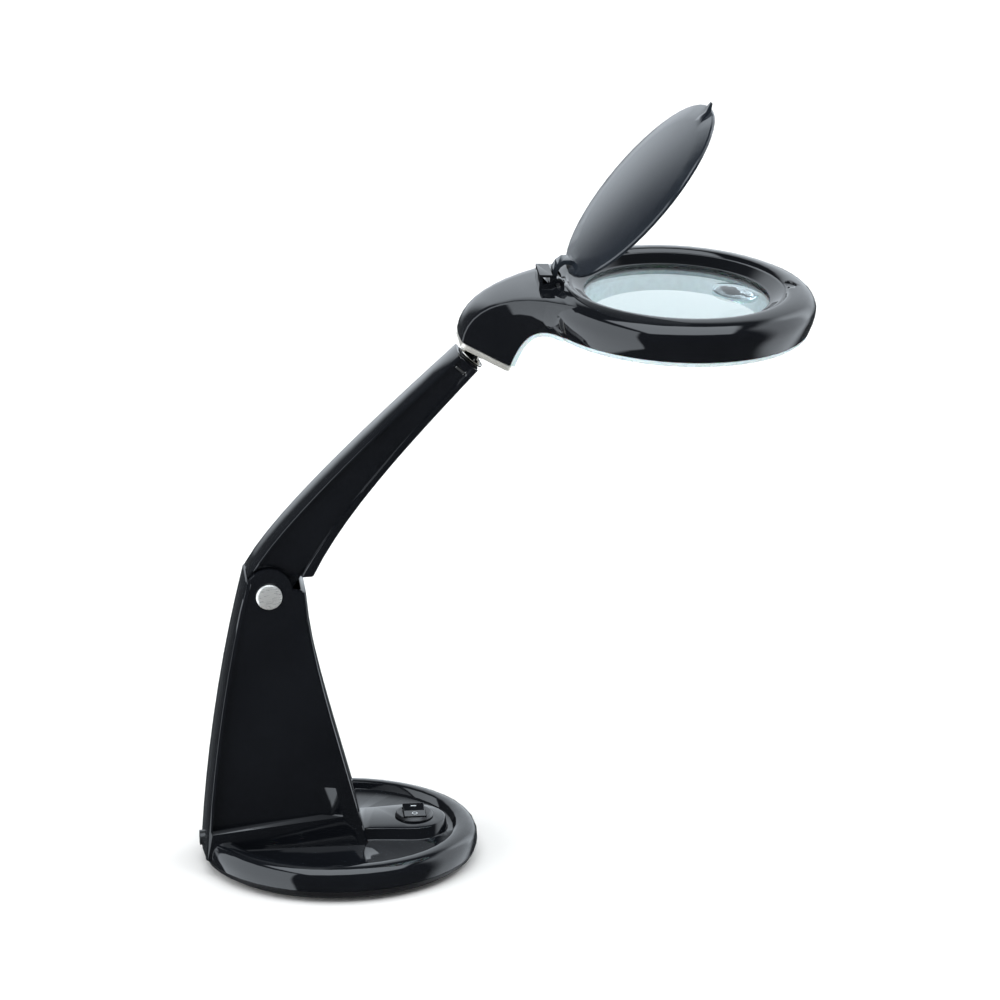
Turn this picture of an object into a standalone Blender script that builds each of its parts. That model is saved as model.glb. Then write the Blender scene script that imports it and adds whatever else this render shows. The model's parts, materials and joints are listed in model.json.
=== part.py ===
"""Desk magnifying lamp: weighted oval foot, hollow column, tilting arm, ball joint,
ring head with lens, LEDs and a hinged lens cover.

Lengths are written in millimetres and turned into metres when a mesh is made.
+Z is up and +X is the side the head leans to. The lamp is symmetric about Y = 0.
"""

import math

import bmesh
import bpy
from mathutils import Matrix, Vector

MM = 0.001
FACE_GAP = 0.3        # clearance between faces that touch
MERGE = 1e-5          # metres, joins the first and last turn of a Screw
WELD = 2e-6           # metres, joins doubled points that a Boolean leaves

# ------------------------------------------------------------------ foot
FOOT_RX = 66.3        # half length of the oval foot
FOOT_SQUASH = 0.8824  # its width as a share of its length
SEAM_Z = 6.5          # parting line between housing and bottom plate
CREST_Z = 17.4        # top of the raised rim
CREST_INSET = 8.3     # rim crest, in from the foot's edge
TRAY_Z = 13.2         # floor of the sunken tray
TRAY_INSET = 13.6     # start of the tray floor, in from the foot's edge
FOOT_WALL = 2.2
PAD_T = 1.3
PAD_INSET = 11.0
PLATE_BOTTOM = PAD_T + FACE_GAP
PLATE_T = 2.0
BALLAST_X = -8.0
BALLAST_R = FOOT_RX - 26.3
BALLAST_T = 4.8
FOOT_SCREW_INSET = 13.35           # oval that the foot screws stand on, in from the foot's edge
FOOT_SCREW_ANGLE = 33.8            # degrees from the long axis
POST_R = 3.2
SCREW_R = 1.25        # shank of every self-tapping screw
SCREW_HEAD_R = 2.6
SCREW_HEAD_T = 1.5
FOOT_STEPS = 44
INLET_Z = 12.2        # low-voltage socket in the back of the foot
INLET_R = 3.6
INLET_LENGTH = 13.0
INLET_PROUD = 0.9

# ------------------------------------------------------------------ switch
SWITCH_X = FOOT_RX - 30.3
SWITCH_R = 8.0
BEZEL_R = SWITCH_R + 1.2
BEZEL_T = 1.6
SWITCH_DEPTH = 10.0
ROCKER_LENGTH = SWITCH_R * 1.3
ROCKER_HALF = SWITCH_R - 2.1
ROCKER_EDGE = 0.9     # room beside the rocker in its well
TONGUE_Z = 19.0       # top of the raised tongue that carries the switch
TONGUE_HALF = BEZEL_R + 3.8
TONGUE_SWELL = 2.0    # the tongue is this much wider round the switch
TONGUE_R = TONGUE_HALF + TONGUE_SWELL
ROCKER_TILT = 9.0     # the rocker rests this far to its off side, degrees
ROCKER_AXIS_Z = TONGUE_Z + FACE_GAP + 0.5

# ------------------------------------------------------------------ column
COLUMN_BACK = ((1.1 - FOOT_RX, 8.0), (3.7 - FOOT_RX, 50.0), (-54.8, 104.0), (-43.8, 147.0))
COLUMN_FRONT = ((12.5, 13.0), (-1.0, 68.0), (-12.5, 103.0), (-15.5, 141.0))
COLUMN_HALF_FOOT = 19.6
COLUMN_HALF_TOP = 13.6  # a little wider than the cheeks
COLUMN_CORNER = 2.6
COLUMN_WALL = 2.2
COLUMN_LEVELS = 9
CHEEK_INNER = 10.4    # inner face of the cheeks
CHEEK_OUTER = CHEEK_INNER + 2.5    # outer face of the cheeks, the floor of the side recess
RECESS_FOOT = 0.10    # where the side recess starts, as a share of the column's edge lines
RIM_BACK = 1.7        # rim behind the recess
RIM_FRONT_TOP = 4.2   # rim in front of the recess
RIM_FRONT_FOOT = 8.6
FACET_TOP = 4.6       # sloping facet between recess floor and front rim
FACET_FOOT = 10.0

# ------------------------------------------------------------------ arm pivot
PIVOT = Vector((-33.0, 0.0, 139.5))
CHEEK_ARCH_R = 11.0   # rounded top of the cheeks
CHEEK_ARCH_RISE = 2.6
CHEEK_CLEAR = 0.9     # arm lips stay this far outside the arch
PIN_R = 3.0
PIN_PLAY = 0.3
KNUCKLE_R = PIN_R + 6.0
CAP_R = PIN_R + 3.2
CAP_SEAT = 0.6        # cap recess in the cheek
CAP_T = 1.9
CAP_CHAMFER = 0.7
WASHER_R = PIN_R + 4.5
WASHER_T = 1.0
KNUCKLE_HALF = CHEEK_INNER - WASHER_T - 2 * FACE_GAP

# ------------------------------------------------------------------ arm
ARM_TOP = ((-42.8, 148.6), (-29.6, 172.8), (17.2, 217.8), (57.2, 254.8))
ARM_BOTTOM = ((-11.5, 148.3), (3.9, 179.8), (35.4, 213.5), (66.4, 246.8))
ARM_HALF_LOW = 11.9
ARM_HALF_HIGH = 10.0
ARM_PANEL = 2.0       # depth of the side panels below the lips, at the pivot end
ARM_PANEL_HIGH = 1.2
ARM_WALL = 1.8
ARM_LIP_TOP = 1.6
ARM_LIP_LOW = 5.6     # lower lip at the pivot end
ARM_LIP_HIGH = 3.0    # lower lip at the head end
ARM_LEVELS = 11
ARM_WEB_BACK = 6.0    # front edge of the web, behind the arm's lower edge line
ARM_WEB_FRONT = 3.1   # back edge of the web, in front of the arm's upper edge line
ARM_STRIP_T = 1.6
WIRE_R = 1.1

# ------------------------------------------------------------------ ball joint
BALL_R = 5.6
BALL_PLAY = 0.3
SOCKET_R = BALL_R + 3.4
BALL_AHEAD = SOCKET_R + 3.2        # ball centre beyond the end face of the arm
BALL_BELOW = 1.6      # and below the middle line of the arm
STEM_R = BALL_R - 2.4
STEM_FLANGE_R = STEM_R + 1.4
COLLAR_R = STEM_R + 3.2
END_BLOCK_T = 4.0
CLIP_T = 1.2
TILT_UP = 12.0        # head tilt range, degrees
TILT_DOWN = 36.0

# ------------------------------------------------------------------ head (origin at the lens centre)
HEAD_TILT = 3.0       # nose-down angle of the head, degrees
LENS_R = 45.2         # ring, dish, LED board, hinge and cover follow this radius
LENS_SEAT = 1.6       # ledge that holds the lens down
LENS_PLAY = 0.5
LENS_OPENING_R = LENS_R - LENS_SEAT
LENS_EDGE_T = 3.0
LENS_CURVE_R = 347.0
LENS_TOP_Z = -0.7     # upper edge of the lens rim
POCKET_R = LENS_R + LENS_PLAY
POCKET_WALL = 1.4
DISH_R = LENS_R + 6.8
REBATE_R = DISH_R - 1.2            # seat of the closed cover
REBATE_Z = 4.2
RING_CREST_R = DISH_R + 3.0
RING_CREST_Z = 5.8
RING_R = DISH_R + 13.5
RING_BOTTOM = -12.3
RING_WALL = 1.9
RING_STEPS = 52
LENS_FROM_BALL = Vector((RING_R + 24.0, 0.0, 19.6))
INSERT_X = LENS_R - 17.7
INSERT_R = 11.0
INSERT_EDGE_T = 0.9
INSERT_DOME = 1.5
NECK_END = -RING_CREST_R - 1.0
NECK_BACK = -RING_R - 27.2 - SOCKET_R        # the neck leaves room round the socket
NECK_FRONT = -RING_R - 21.5 + SOCKET_R
NECK_TOP = ((NECK_BACK, -21.1), (NECK_BACK + 1.2, -7.6), (-RING_R - 20.5, 4.0),
            (NECK_END, RING_CREST_Z - 1.3))
NECK_BOTTOM = ((NECK_FRONT, -32.9), (NECK_FRONT + 4.5, -20.0), (-RING_R - 2.5, RING_BOTTOM),
               (NECK_END, RING_BOTTOM))
NECK_HALF = SOCKET_R + 2.6
NECK_HALF_END = 31.0
NECK_RUN_IN = ((6.0, 35.0), (12.0, 36.6), (18.0, 37.0))    # run and half width inside the ring
NECK_WALL = 2.0
NECK_DOME = 0.7
NECK_LEVELS = 10
TRIM_T = 2.6
TRIM_CORNER = 2.5
TRIM_SHORT = 1.4      # trim plate ends short of the back of the neck
COVER_STRIP_T = 2.7   # visible height of the white lower cover
BOARD_IN = POCKET_R + 2.3
BOARD_OUT = RING_R - 6.1
BOARD_Z = -5.2
BOARD_T = 1.5
LED_COUNT = 12
LED_SIZE = (3.2, 2.8, 1.0)
HEAD_SCREW_R = RING_CREST_R        # pitch radius of the head screws
HEAD_SCREWS = 3

# ------------------------------------------------------------------ lens cover and its hinge
HINGE_X = -DISH_R - 5.2
HINGE_Z = 6.2
HINGE_PIN_R = 1.0
HINGE_PLAY = 0.3
KNUCKLE_RIM_R = HINGE_PIN_R + 1.1  # eye of the cover's hinge arm
CHEEK_RIM_R = KNUCKLE_RIM_R + 0.9  # rounded cheeks beside it
BRACKET_HALF = 8.6
BRACKET_BACK = HINGE_X - 8.8
BRACKET_FLOOR = 3.6
BRACKET_TOP = 11.0
STOP_GAP = 2.9        # stop face of the box, behind the pin
WINDOW = 3.3          # square window through the stop box
COVER_R = DISH_R - 1.6
COVER_T = 1.7
COVER_DOME = 2.0
COVER_OPEN = 51.2     # how far the cover stands open at rest, degrees
COVER_ARM_HALF = 4.2
COVER_ARM_T = 2.2
COVER_ARM = ((0.0, 0.0), (1.2, 2.6), (3.6, 4.1), (6.6, 4.6), (9.2, 3.9), (11.2, 1.6), (12.2, -1.8))
COVER_STEPS = 48
TAB_REACH = 2.6       # finger tab beyond the disc's edge
TAB_LENGTH = 9.0
TAB_HALF = 4.2
TAB_RISE = 2.4
NOTCH_R = 4.4         # thumb notch in the ring under the tab

BLACK_GLOSS = ((0.012, 0.013, 0.015, 1.0), 0.12, 0.0)
BLACK_MATT = ((0.02, 0.02, 0.021, 1.0), 0.5, 0.0)
CHROME = ((0.75, 0.74, 0.72, 1.0), 0.12, 1.0)
NICKEL = ((0.62, 0.59, 0.53, 1.0), 0.32, 1.0)
STEEL = ((0.45, 0.45, 0.46, 1.0), 0.35, 1.0)
WHITE = ((0.85, 0.9, 0.9, 1.0), 0.35, 0.0)
CIRCUIT = ((0.05, 0.22, 0.12, 1.0), 0.45, 0.0)
GLASS = ((0.72, 0.9, 0.88, 0.35), 0.03, 0.0)
RUBBER = ((0.03, 0.03, 0.03, 1.0), 0.85, 0.0)
RED_INSULATION = ((0.4, 0.02, 0.02, 1.0), 0.5, 0.0)


# ================================================================== scene and mesh helpers
def clear_scene():
    """Remove every object of the start-up file."""
    for item in list(bpy.data.objects):
        bpy.data.objects.remove(item, do_unlink=True)


def new_collection(name):
    """A collection linked to the scene."""
    group = bpy.data.collections.new(name)
    bpy.context.scene.collection.children.link(group)
    return group


clear_scene()
PARTS = new_collection("magnifying_lamp")
TOOLS = new_collection("cutters")


def make_material(name, look):
    """Principled BSDF with one colour, roughness and metallic value."""
    colour, roughness, metallic = look
    mat = bpy.data.materials.new(name)
    mat.use_nodes = True
    shader = mat.node_tree.nodes["Principled BSDF"]
    shader.inputs["Base Color"].default_value = colour
    shader.inputs["Roughness"].default_value = roughness
    shader.inputs["Metallic"].default_value = metallic
    mat.diffuse_color = colour
    return mat


def empty_at(name, parent, location, angle_y=0.0):
    """An empty on a joint axis, in millimetres and degrees, under its parent."""
    empty = bpy.data.objects.new(name, None)
    empty.empty_display_size = 10 * MM
    PARTS.objects.link(empty)
    empty.parent = parent
    empty.location = Vector(location) * MM
    empty.rotation_euler = (0.0, math.radians(angle_y), 0.0)
    return empty


def link_mesh(name, bm, group=TOOLS):
    """Turn a bmesh drawn in millimetres into an object in metres."""
    bmesh.ops.recalc_face_normals(bm, faces=bm.faces)
    bmesh.ops.scale(bm, vec=(MM, MM, MM), verts=bm.verts)
    mesh = bpy.data.meshes.new(name)
    bm.to_mesh(mesh)
    bm.free()
    item = bpy.data.objects.new(name, mesh)
    group.objects.link(item)
    return item


def bake(item):
    """Replace an object's mesh by the result of its modifiers."""
    bpy.context.view_layer.update()
    depsgraph = bpy.context.evaluated_depsgraph_get()
    mesh = bpy.data.meshes.new_from_object(item.evaluated_get(depsgraph))
    item.modifiers.clear()
    item.data = mesh
    return item


def boolean(target, tool, operation):
    """Apply one exact Boolean and remove the tool."""
    modifier = target.modifiers.new(operation.lower(), "BOOLEAN")
    modifier.operation = operation
    modifier.solver = "EXACT"
    modifier.object = tool
    bake(target)
    bpy.data.objects.remove(tool, do_unlink=True)
    return target


def cut(target, *tools):
    """Subtract each tool."""
    for tool in tools:
        boolean(target, tool, "DIFFERENCE")
    return target


def fuse(target, *tools):
    """Add each tool."""
    for tool in tools:
        boolean(target, tool, "UNION")
    return target


def finish(item, name, look, parent, origin=None):
    """Name a finished solid, give it its material and put it under its parent empty.

    A solid drawn in the lamp's own frame names the origin of its parent.
    """
    if origin:
        moved(item, Matrix.Translation(-origin))
    bm = bmesh.new()
    bm.from_mesh(item.data)
    bmesh.ops.remove_doubles(bm, verts=bm.verts, dist=WELD)
    bmesh.ops.dissolve_degenerate(bm, dist=WELD / 2, edges=bm.edges)
    bm.to_mesh(item.data)
    bm.free()
    TOOLS.objects.unlink(item)
    PARTS.objects.link(item)
    item.name = name
    item.data.name = name
    item.data.materials.clear()
    item.data.materials.append(make_material(name, look))
    item.parent = parent
    return item


def loft(sections):
    """Closed solid through sections that all have the same number of points."""
    bm = bmesh.new()
    rings = [[bm.verts.new(point) for point in section] for section in sections]
    count = len(rings[0])
    for low, high in zip(rings, rings[1:]):
        for i in range(count):
            j = (i + 1) % count
            bm.faces.new((low[i], low[j], high[j], high[i]))
    bm.faces.new(list(reversed(rings[0])))
    bm.faces.new(rings[-1])
    return link_mesh("loft", bm)


def turned(profile, steps, centre=(0.0, 0.0, 0.0), squash=1.0):
    """Turn a closed profile of (radius, height) points about Z with a Screw modifier."""
    bm = bmesh.new()
    points = [bm.verts.new((radius, 0.0, height)) for radius, height in profile]
    closed = min(radius for radius, height in profile) > 0.0
    pairs = list(zip(points, points[1:]))
    if closed:
        pairs.append((points[-1], points[0]))
    for first, second in pairs:
        bm.edges.new((first, second))
    item = link_mesh("turned", bm)
    screw = item.modifiers.new("screw", "SCREW")
    screw.steps = steps
    screw.render_steps = steps
    screw.use_merge_vertices = True
    screw.merge_threshold = MERGE
    screw.use_normal_calculate = True
    bake(item)
    item.data.transform(Matrix.Diagonal((1.0, squash, 1.0, 1.0)))
    item.data.transform(Matrix.Translation(Vector(centre) * MM))
    bm = bmesh.new()
    bm.from_mesh(item.data)
    bmesh.ops.remove_doubles(bm, verts=bm.verts, dist=MERGE)
    bmesh.ops.recalc_face_normals(bm, faces=bm.faces)
    bm.to_mesh(item.data)
    bm.free()
    return item


def prism(outline, low, high, axis="Y"):
    """Extrude a flat outline. An outline in X and Z goes along Y, one in X and Y along Z."""
    def place(a, b, c):
        return (a, c, b) if axis == "Y" else (a, b, c)
    return loft([[place(a, b, depth) for a, b in outline] for depth in (low, high)])


def box(low, high):
    """Box from its low corner to its high corner."""
    bm = bmesh.new()
    bmesh.ops.create_cube(bm, size=1.0)
    size = Vector(high) - Vector(low)
    bmesh.ops.scale(bm, vec=size, verts=bm.verts)
    bmesh.ops.translate(bm, vec=Vector(low) + size / 2, verts=bm.verts)
    return link_mesh("box", bm)


def cylinder(radius, low, high, centre=(0.0, 0.0), axis="Z", steps=20):
    """Cylinder along an axis; centre holds the two other coordinates in order."""
    bm = bmesh.new()
    bmesh.ops.create_cone(bm, cap_ends=True, segments=steps, radius1=radius, radius2=radius,
                          depth=high - low)
    bmesh.ops.translate(bm, vec=(0.0, 0.0, (low + high) / 2), verts=bm.verts)
    if axis == "Y":
        bmesh.ops.rotate(bm, matrix=Matrix.Rotation(-math.pi / 2, 3, "X"), verts=bm.verts)
        bmesh.ops.translate(bm, vec=(centre[0], 0.0, centre[1]), verts=bm.verts)
    elif axis == "X":
        bmesh.ops.rotate(bm, matrix=Matrix.Rotation(math.pi / 2, 3, "Y"), verts=bm.verts)
        bmesh.ops.translate(bm, vec=(0.0, centre[0], centre[1]), verts=bm.verts)
    else:
        bmesh.ops.translate(bm, vec=(centre[0], centre[1], 0.0), verts=bm.verts)
    return link_mesh("cylinder", bm)


def ball(radius, centre, segments=32, rings=16):
    """Sphere."""
    bm = bmesh.new()
    bmesh.ops.create_uvsphere(bm, u_segments=segments, v_segments=rings, radius=radius)
    bmesh.ops.translate(bm, vec=centre, verts=bm.verts)
    return link_mesh("ball", bm)


def moved(item, matrix):
    """Transform an object's mesh; the matrix's translation is in millimetres."""
    matrix = matrix.copy()
    matrix.translation *= MM
    item.data.transform(matrix)
    return item


# ================================================================== curve helpers
def bezier(points, t):
    """Point on a cubic Bezier in a plane."""
    a, b, c, d = (Vector(point) for point in points)
    s = 1.0 - t
    return a * s**3 + b * (3 * s * s * t) + c * (3 * s * t * t) + d * t**3


def bezier_direction(points, t):
    """Unit tangent of a cubic Bezier in a plane."""
    a, b, c, d = (Vector(point) for point in points)
    s = 1.0 - t
    tangent = (b - a) * (s * s) + (c - b) * (2 * s * t) + (d - c) * (t * t)
    return tangent.normalized()


def blend(low, high, t):
    """Linear blend."""
    return low + (high - low) * t


def arc(centre, radius, start, end, steps):
    """Points on an arc, angles in degrees."""
    points = []
    for i in range(steps + 1):
        angle = math.radians(blend(start, end, i / steps))
        points.append((centre[0] + radius * math.cos(angle), centre[1] + radius * math.sin(angle)))
    return points


# ================================================================== foot
def foot_shell():
    """Turned shell of the foot: rolled rim, sunken tray, open underneath."""
    edge = FOOT_RX
    crest = FOOT_RX - CREST_INSET
    floor = FOOT_RX - TRAY_INSET
    wall = FOOT_WALL
    outer = [(0.0, TRAY_Z), (floor, TRAY_Z), (floor + 1.8, TRAY_Z + 0.8), (crest - 1.8, CREST_Z - 0.7)]
    outer += [(crest, CREST_Z)]
    roll = ((crest, CREST_Z), (edge - 2.0, CREST_Z), (edge, 14.0), (edge, 9.5))
    outer += [tuple(bezier(roll, k / 5)) for k in range(1, 6)]
    outer += [(edge - 0.4, SEAM_Z)]
    inner = [(edge - wall - 0.4, SEAM_Z), (edge - wall, 9.5), (edge - wall - 1.5, 13.2)]
    inner += [(crest, CREST_Z - wall)]
    inner += [(floor + 2.8, TRAY_Z - 0.6), (floor + 0.5, TRAY_Z - wall), (0.0, TRAY_Z - wall)]
    return turned(outer + inner, FOOT_STEPS, squash=FOOT_SQUASH)


def tongue_outline(grow):
    """Raised tongue from under the column round the switch."""
    neck = SWITCH_X - TONGUE_R * 1.5
    side = [(-20.0, -TONGUE_HALF - grow), (neck, -TONGUE_HALF - grow)]
    swell = []
    for k in range(1, 5):
        t = k / 5
        ease = 3 * t * t - 2 * t**3
        swell.append((blend(neck, SWITCH_X, t), -TONGUE_HALF - grow - TONGUE_SWELL * ease))
    end = arc((SWITCH_X, 0.0), TONGUE_R + grow, -90.0, 90.0, 12)
    back = [(x, -y) for x, y in reversed(side + swell)]
    return side + swell + end + back


def tongue():
    """The tongue as a solid with a sloping edge."""
    levels = ((TRAY_Z - 1.0, 2.2), (TRAY_Z + 0.4, 1.0), (TONGUE_Z - 0.5, 0.0), (TONGUE_Z, -1.2))
    return loft([[(x, y, z) for x, y in tongue_outline(grow)] for z, grow in levels])


def column_section(t, back_inset, front_inset, half, corner, steps=2):
    """Rounded rectangle across the column between its back and front edge lines."""
    back = bezier(COLUMN_BACK, t) + Vector((back_inset, 0.0))
    front = bezier(COLUMN_FRONT, t) - Vector((front_inset, 0.0))
    length = front.x - back.x
    slope = (front.y - back.y) / length
    points = []
    corners = ((back.x + corner, -half + corner, 180.0), (front.x - corner, -half + corner, 270.0),
               (front.x - corner, half - corner, 0.0), (back.x + corner, half - corner, 90.0))
    for x, y, start in corners:
        points += arc((x, y), corner, start, start + 90.0, steps)
    return [(x, y, back.y + (x - back.x) * slope) for x, y in points]


def column_half(t):
    """Half width of the column, flaring to the foot."""
    return blend(COLUMN_HALF_FOOT, COLUMN_HALF_TOP, min(1.0, t * 1.15))


def column_solid():
    """Outer shape of the column with its rounded cheeks."""
    levels = [k / COLUMN_LEVELS for k in range(COLUMN_LEVELS + 1)]
    body = loft([column_section(t, 0.0, 0.0, column_half(t), COLUMN_CORNER) for t in levels])
    centre = (PIVOT.x, PIVOT.z + CHEEK_ARCH_RISE)
    arch = arc(centre, CHEEK_ARCH_R, 0.0, 180.0, 14)
    foot_z = PIVOT.z - 25.0
    outline = arch + [(PIVOT.x - CHEEK_ARCH_R, foot_z), (PIVOT.x + CHEEK_ARCH_R, foot_z)]
    return fuse(body, prism(outline, -CHEEK_OUTER, CHEEK_OUTER))


def recess_cutter(side):
    """One side recess: flat floor, sloping front facet, open at the top."""
    outside = COLUMN_HALF_FOOT + 6.0
    sections = []
    for k in range(COLUMN_LEVELS + 2):
        t = blend(RECESS_FOOT, 1.0, k / COLUMN_LEVELS)
        u = min(t, 1.0)
        back = bezier(COLUMN_BACK, t)
        front = bezier(COLUMN_FRONT, t)
        rim = blend(RIM_FRONT_FOOT, RIM_FRONT_TOP, u)
        facet = blend(FACET_FOOT, FACET_TOP, u)
        depth = column_half(u) - CHEEK_OUTER
        run_out = (outside - CHEEK_OUTER) * facet / depth
        slope = (front.y - back.y) / (front.x - back.x)
        crease = front.x - rim - facet
        xs = (back.x + RIM_BACK, back.x + RIM_BACK + 0.8, crease, crease + run_out)
        ys = (outside, CHEEK_OUTER, CHEEK_OUTER, outside)
        sections.append([(x, side * y, back.y + (x - back.x) * slope) for x, y in zip(xs, ys)])
    return loft(sections)


def column_cavity():
    """Hollow of the column, open to the foot and at the top between the cheeks."""
    levels = [blend(-0.12, 1.2, k / 12) for k in range(13)]
    return loft([column_section(t, COLUMN_WALL, COLUMN_WALL, CHEEK_INNER, 1.0, 1) for t in levels])


def screw_places():
    """Centres of the foot screws."""
    reach = FOOT_RX - FOOT_SCREW_INSET
    angle = math.radians(FOOT_SCREW_ANGLE)
    x = reach * math.cos(angle)
    y = reach * math.sin(angle) * FOOT_SQUASH
    return [(sx * x, sy * y) for sx in (-1, 1) for sy in (-1, 1)]


PLATE_TOP = PLATE_BOTTOM + PLATE_T


def base_housing(parent):
    """Foot shell and column in one moulding."""
    body = fuse(foot_shell(), tongue(), column_solid())
    cut(body, recess_cutter(-1.0), recess_cutter(1.0), column_cavity())
    top = COLUMN_BACK[-1][1]
    slot = box((COLUMN_BACK[0][0], -CHEEK_INNER, top), (COLUMN_FRONT[0][0], CHEEK_INNER, top + 20.0))
    cut(body, slot)
    for x, y in screw_places():
        fuse(body, cylinder(POST_R, PLATE_TOP + FACE_GAP, TRAY_Z - 1.0, (x, y), steps=16))
        cut(body, cylinder(SCREW_R + FACE_GAP / 2, PLATE_BOTTOM, TRAY_Z - FOOT_WALL, (x, y), steps=16))
    cut(body, cylinder(SWITCH_R + FACE_GAP, SEAM_Z, TONGUE_Z + 2.0, (SWITCH_X, 0.0), steps=28))
    centre = (PIVOT.x, PIVOT.z)
    cut(body, cylinder(PIN_R + PIN_PLAY, -CHEEK_OUTER - 1.0, CHEEK_OUTER + 1.0, centre, axis="Y"))
    for side in (-1.0, 1.0):
        low, high = sorted((side * (CHEEK_OUTER - CAP_SEAT), side * (CHEEK_OUTER + 1.0)))
        cut(body, cylinder(CAP_R + FACE_GAP, low, high, centre, axis="Y", steps=28))
    inlet_end = INLET_LENGTH - FOOT_RX
    cut(body, cylinder(INLET_R + FACE_GAP, -FOOT_RX - 3.0, inlet_end, (0.0, INLET_Z), axis="X"))
    finish(body, "base_housing", BLACK_GLOSS, parent)


def base_plate(parent):
    """Bottom plate that closes the foot."""
    edge = FOOT_RX
    rim = SEAM_Z - FACE_GAP
    outer = [(0.0, PLATE_TOP), (edge - 6.0, PLATE_TOP), (edge - 2.6, rim), (edge - 0.5, rim)]
    outer += [(edge - 1.6, 3.8), (edge - 5.0, PLATE_BOTTOM), (0.0, PLATE_BOTTOM)]
    plate = turned(outer, FOOT_STEPS, squash=FOOT_SQUASH)
    for x, y in screw_places():
        cut(plate, cylinder(SCREW_R + FACE_GAP, 0.0, SEAM_Z, (x, y), steps=16))
        head_top = PLATE_BOTTOM + SCREW_HEAD_T - 0.4
        cut(plate, cylinder(SCREW_HEAD_R + FACE_GAP, 0.0, head_top, (x, y), steps=20))
    finish(plate, "base_plate", BLACK_MATT, parent)


def foot_internals(parent):
    """Ballast, non-slip pad and foot screws."""
    low = PLATE_TOP + FACE_GAP
    high = low + BALLAST_T
    profile = [(0.0, high), (BALLAST_R - 0.8, high), (BALLAST_R, high - 0.8), (BALLAST_R, low), (0.0, low)]
    slug = turned(profile, 36, centre=(BALLAST_X, 0.0, 0.0))
    finish(slug, "ballast", STEEL, parent)
    rim = FOOT_RX - PAD_INSET
    pad = turned([(0.0, PAD_T), (rim - 0.4, PAD_T), (rim, PAD_T - 0.4), (rim, 0.0), (0.0, 0.0)],
                 36, squash=FOOT_SQUASH)
    finish(pad, "non_slip_pad", RUBBER, parent)
    for index, (x, y) in enumerate(screw_places(), 1):
        head_low = PLATE_BOTTOM + 0.1
        head_high = PLATE_BOTTOM + SCREW_HEAD_T - 0.4 - FACE_GAP
        screw = cylinder(SCREW_HEAD_R, head_low, head_high, (x, y), steps=20)
        fuse(screw, cylinder(SCREW_R, head_high - 0.2, TRAY_Z - FOOT_WALL - 1.0, (x, y), steps=12))
        finish(screw, f"base_screw_{index}", STEEL, parent)


def power_inlet(parent):
    """Low-voltage socket in the back of the foot."""
    back = -FOOT_RX - INLET_PROUD
    socket = cylinder(INLET_R, back, back + INLET_LENGTH, (0.0, INLET_Z), axis="X", steps=24)
    cut(socket, cylinder(2.4, back - 1.0, back + 9.0, (0.0, INLET_Z), axis="X", steps=20))
    fuse(socket, cylinder(0.8, back + 2.0, back + 9.5, (0.0, INLET_Z), axis="X", steps=12))
    finish(socket, "power_inlet", BLACK_MATT, parent)


def switch(parent, rocker_axis):
    """Round rocker switch: body with bezel, and the rocker."""
    seat = TONGUE_Z + FACE_GAP
    profile = [(0.0, seat + BEZEL_T), (BEZEL_R - 0.9, seat + BEZEL_T), (BEZEL_R, seat + 0.5)]
    profile += [(BEZEL_R, seat)]
    profile += [(SWITCH_R, seat), (SWITCH_R, seat - SWITCH_DEPTH), (0.0, seat - SWITCH_DEPTH)]
    body = turned(profile, 28, centre=(SWITCH_X, 0.0, 0.0))
    half = ROCKER_LENGTH / 2 + FACE_GAP
    reach = ROCKER_HALF + ROCKER_EDGE
    cut(body, box((SWITCH_X - half, -reach, seat - 6.0), (SWITCH_X + half, reach, seat + 6.0)))
    finish(body, "switch_body", BLACK_MATT, parent)
    tilt = math.radians(ROCKER_TILT)
    outline = [(-ROCKER_HALF, 2.5), (0.0, 1.9), (ROCKER_HALF, 2.5), (ROCKER_HALF, -0.6), (1.2, -3.4)]
    outline += [(-1.2, -3.4), (-ROCKER_HALF, -0.6)]
    half = ROCKER_LENGTH / 2
    rocker = loft([[(x, y, z) for y, z in outline] for x in (-half, half)])
    moved(rocker, Matrix.Rotation(tilt, 4, "X"))
    finish(rocker, "switch_rocker", BLACK_GLOSS, rocker_axis)


# ================================================================== arm pivot
def pivot_parts(parent):
    """Pin, friction washers and chrome caps of the arm pivot."""
    centre = (PIVOT.x, PIVOT.z)
    reach = CHEEK_OUTER - CAP_SEAT - FACE_GAP
    pin = cylinder(PIN_R, -reach, reach, centre, axis="Y", steps=20)
    finish(pin, "pivot_pin", STEEL, parent)
    for name, side in (("near", -1.0), ("far", 1.0)):
        inner = KNUCKLE_HALF + FACE_GAP
        low, high = sorted((side * inner, side * (inner + WASHER_T)))
        washer = cylinder(WASHER_R, low, high, centre, axis="Y", steps=20)
        cut(washer, cylinder(PIN_R + PIN_PLAY, -20.0, 20.0, centre, axis="Y", steps=20))
        finish(washer, f"friction_washer_{name}", NICKEL, parent)
        seat = CHEEK_OUTER - CAP_SEAT + FACE_GAP / 2
        profile = [(0.0, CAP_T), (CAP_R - CAP_CHAMFER - 0.6, CAP_T), (CAP_R - 0.6, CAP_T - 0.25)]
        profile += [(CAP_R, CAP_T - CAP_CHAMFER), (CAP_R, 0.0), (0.0, 0.0)]
        cap = turned(profile, 28)
        turn = Matrix.Rotation(-side * math.pi / 2, 4, "X")
        moved(cap, Matrix.Translation((PIVOT.x, side * seat, PIVOT.z)) @ turn)
        finish(cap, f"pivot_cap_{name}", CHROME, parent)


# ================================================================== arm
def arm_frame(t):
    """Lower edge point, unit vector to the upper edge and height of the arm at t."""
    low = bezier(ARM_BOTTOM, t)
    high = bezier(ARM_TOP, t)
    return low, (high - low).normalized(), (high - low).length


def arm_point(t, up, y):
    """Point of the arm in space, up millimetres from the lower edge line."""
    low, rise, height = arm_frame(t)
    spot = low + rise * up
    return (spot.x, y, spot.y)


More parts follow.
